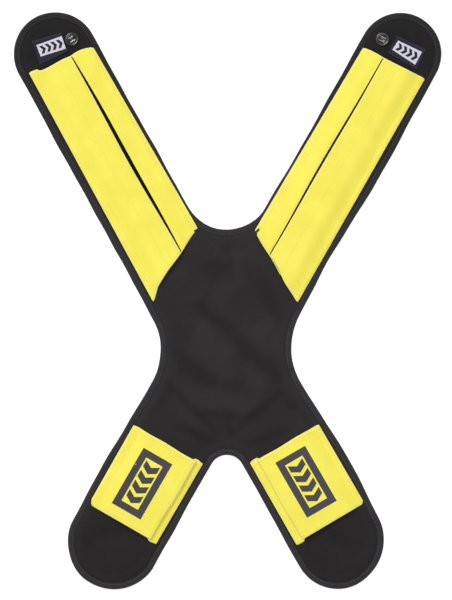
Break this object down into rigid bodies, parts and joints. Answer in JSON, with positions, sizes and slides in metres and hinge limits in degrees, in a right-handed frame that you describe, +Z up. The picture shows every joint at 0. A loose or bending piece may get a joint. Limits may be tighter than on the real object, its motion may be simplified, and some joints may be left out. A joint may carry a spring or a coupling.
{
  "type": "harness comfort pad",
  "caption": "X-shaped padded yoke for a full-body safety harness, with opening hook-and-loop webbing sleeves on its arms, woven labels and snap sockets.",
  "frame": {"origin": "on the surface the pad lies on, under the middle of its outline's box", "axes": "+Z up out of the sleeve side (lining face down), +Y along the pad towards the two long upper arms, +X to the right seen from above"},
  "size_m": [0.475, 0.634, 0.0158],
  "materials": {
    "face_cloth": "matte woven cloth",
    "lining_cloth": "matte knitted mesh",
    "foam": "closed-cell foam",
    "binding_tape": "ribbed tape, slight sheen",
    "sleeve_cloth": "bright coated plain weave",
    "hook_tape": "hook side of hook-and-loop tape",
    "loop_tape": "loop side of hook-and-loop tape",
    "woven_label": "damask label",
    "print_ink": "screen print",
    "snap_metal": "black oxide",
    "spring_wire": "polished wire"
  },
  "bodies": {
    "centre_pad": {"centre_lining": "lining_cloth", "centre_foam": "foam", "centre_face_cloth": "face_cloth", "centre_edge_binding": "binding_tape"},
    "left_upper_arm": {"left_upper_lining": "lining_cloth", "left_upper_foam": "foam", "left_upper_face_cloth": "face_cloth", "left_upper_edge_binding": "binding_tape", "left_sleeve_outer_hem": "sleeve_cloth", "left_sleeve_inner_hem": "sleeve_cloth", "left_woven_label": "woven_label", "left_snap_socket": "snap_metal", "left_snap_spring": "spring_wire", "left_snap_cap": "snap_metal"},
    "left_wide_flap": {"left_sleeve_wide_flap": "sleeve_cloth", "left_sleeve_loop_strip": "loop_tape"},
    "left_narrow_flap": {"left_sleeve_narrow_flap": "sleeve_cloth", "left_sleeve_hook_strip": "hook_tape"},
    "right_upper_arm": {"right_upper_lining": "lining_cloth", "right_upper_foam": "foam", "right_upper_face_cloth": "face_cloth", "right_upper_edge_binding": "binding_tape", "right_sleeve_outer_hem": "sleeve_cloth", "right_sleeve_inner_hem": "sleeve_cloth", "right_woven_label": "woven_label", "right_snap_socket": "snap_metal", "right_snap_spring": "spring_wire", "right_snap_cap": "snap_metal"},
    "right_wide_flap": {"right_sleeve_wide_flap": "sleeve_cloth", "right_sleeve_loop_strip": "loop_tape"},
    "right_narrow_flap": {"right_sleeve_narrow_flap": "sleeve_cloth", "right_sleeve_hook_strip": "hook_tape"},
    "left_lower_arm": {"left_lower_lining": "lining_cloth", "left_lower_foam": "foam", "left_lower_face_cloth": "face_cloth", "left_lower_edge_binding": "binding_tape", "left_band_outer_hem": "sleeve_cloth", "left_band_inner_hem": "sleeve_cloth"},
    "left_band_flap": {"left_band_flap": "sleeve_cloth", "left_band_loop_strip": "loop_tape", "left_band_print": "print_ink"},
    "left_band_tongue": {"left_band_tongue": "sleeve_cloth", "left_band_hook_strip": "hook_tape"},
    "right_lower_arm": {"right_lower_lining": "lining_cloth", "right_lower_foam": "foam", "right_lower_face_cloth": "face_cloth", "right_lower_edge_binding": "binding_tape", "right_band_outer_hem": "sleeve_cloth", "right_band_inner_hem": "sleeve_cloth"},
    "right_band_flap": {"right_band_flap": "sleeve_cloth", "right_band_loop_strip": "loop_tape", "right_band_print": "print_ink"},
    "right_band_tongue": {"right_band_tongue": "sleeve_cloth", "right_band_hook_strip": "hook_tape"}
  },
  "joints": [
    {"name": "left_upper_fold", "type": "hinge", "parent": "centre_pad", "child": "left_upper_arm", "pos_m": [-0.05266, 0.02561, 0], "axis": [0.5075, 0.8616, 0], "range_deg": [-75, 60], "stiffness_Nm_per_rad": 0.1},
    {"name": "left_wide_flap_open", "type": "hinge", "parent": "left_upper_arm", "child": "left_wide_flap", "pos_m": [-0.14911, 0.13413, 0.0086], "axis": [0.4924, -0.8704, 0], "range_deg": [0, 130]},
    {"name": "left_narrow_flap_open", "type": "hinge", "parent": "left_upper_arm", "child": "left_narrow_flap", "pos_m": [-0.08992, 0.16762, 0.0086], "axis": [-0.4924, 0.8704, 0], "range_deg": [0, 65]},
    {"name": "right_upper_fold", "type": "hinge", "parent": "centre_pad", "child": "right_upper_arm", "pos_m": [0.05266, 0.02561, 0], "axis": [0.5075, -0.8616, 0], "range_deg": [-75, 60], "stiffness_Nm_per_rad": 0.1},
    {"name": "right_wide_flap_open", "type": "hinge", "parent": "right_upper_arm", "child": "right_wide_flap", "pos_m": [0.14911, 0.13413, 0.0086], "axis": [0.4924, 0.8704, 0], "range_deg": [0, 130]},
    {"name": "right_narrow_flap_open", "type": "hinge", "parent": "right_upper_arm", "child": "right_narrow_flap", "pos_m": [0.08992, 0.16762, 0.0086], "axis": [-0.4924, -0.8704, 0], "range_deg": [0, 65]},
    {"name": "left_lower_fold", "type": "hinge", "parent": "centre_pad", "child": "left_lower_arm", "pos_m": [-0.05962, -0.15449, 0], "axis": [-0.866, 0.5, 0], "range_deg": [-90, 60], "stiffness_Nm_per_rad": 0.1},
    {"name": "left_band_flap_open", "type": "hinge", "parent": "left_lower_arm", "child": "left_band_flap", "pos_m": [-0.12157, -0.1808, 0.0086], "axis": [-0.5, -0.866, 0], "range_deg": [0, 130]},
    {"name": "left_band_tongue_open", "type": "hinge", "parent": "left_lower_arm", "child": "left_band_tongue", "pos_m": [-0.05489, -0.2193, 0.0086], "axis": [0.5, 0.866, 0], "range_deg": [0, 65]},
    {"name": "right_lower_fold", "type": "hinge", "parent": "centre_pad", "child": "right_lower_arm", "pos_m": [0.05962, -0.15449, 0], "axis": [-0.866, -0.5, 0], "range_deg": [-90, 60], "stiffness_Nm_per_rad": 0.1},
    {"name": "right_band_flap_open", "type": "hinge", "parent": "right_lower_arm", "child": "right_band_flap", "pos_m": [0.12157, -0.1808, 0.0086], "axis": [-0.5, 0.866, 0], "range_deg": [0, 130]},
    {"name": "right_band_tongue_open", "type": "hinge", "parent": "right_lower_arm", "child": "right_band_tongue", "pos_m": [0.05489, -0.2193, 0.0086], "axis": [0.5, -0.866, 0], "range_deg": [0, 65]}
  ],
  "couplings": [
    {"joint": "left_narrow_flap_open", "follows": "left_wide_flap_open", "ratio": 0.5},
    {"joint": "right_narrow_flap_open", "follows": "right_wide_flap_open", "ratio": 0.5},
    {"joint": "left_band_tongue_open", "follows": "left_band_flap_open", "ratio": 0.5},
    {"joint": "right_band_tongue_open", "follows": "right_band_flap_open", "ratio": 0.5}
  ]
}
